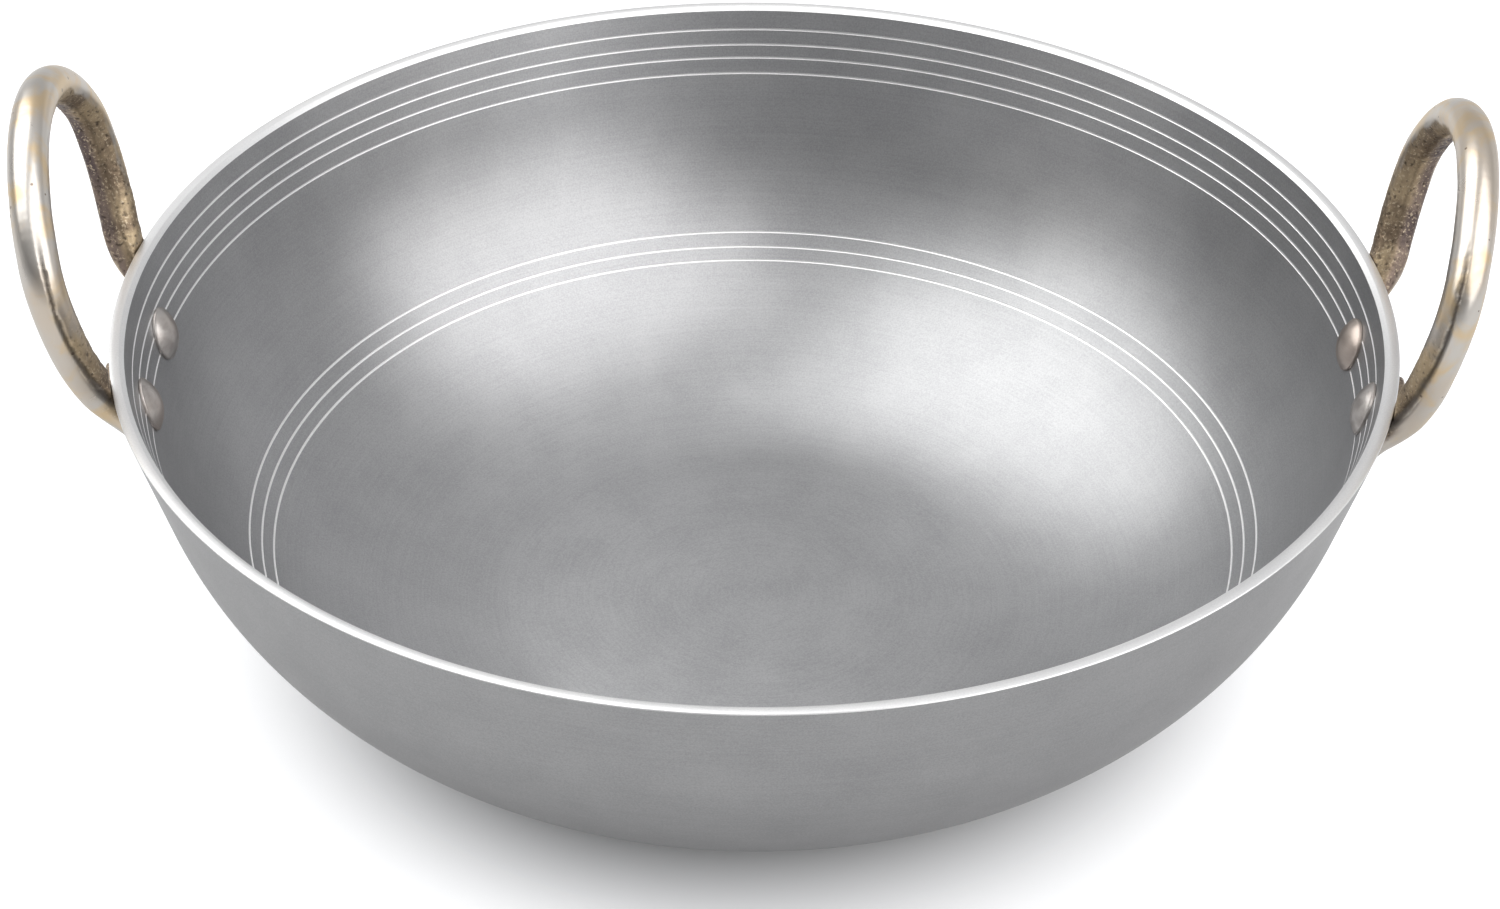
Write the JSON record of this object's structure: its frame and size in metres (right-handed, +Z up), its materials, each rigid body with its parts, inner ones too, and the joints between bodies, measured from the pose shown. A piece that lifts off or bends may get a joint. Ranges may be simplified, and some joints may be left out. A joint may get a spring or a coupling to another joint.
{
  "type": "pan",
  "caption": "Deep round-bottomed pan with a flared wall, fine turned lines inside and riveted cast loop handles at both sides.",
  "frame": {"origin": "middle of the flat underside, on the surface that the pan stands on", "axes": "+Z up, +X towards the right handle, -Y the front"},
  "size_m": [0.332, 0.2998, 0.149],
  "materials": {
    "bowl": "hard-anodised satin grey, bare bright rim",
    "handles": "silvery plate over cast brass, polished outside",
    "rivets": "brushed"
  },
  "bodies": {
    "root": {"bowl": "bowl", "left_handle": "handles", "right_handle": "handles", "left_rivet_back": "rivets", "left_rivet_front": "rivets", "right_rivet_back": "rivets", "right_rivet_front": "rivets"}
  },
  "joints": []
}
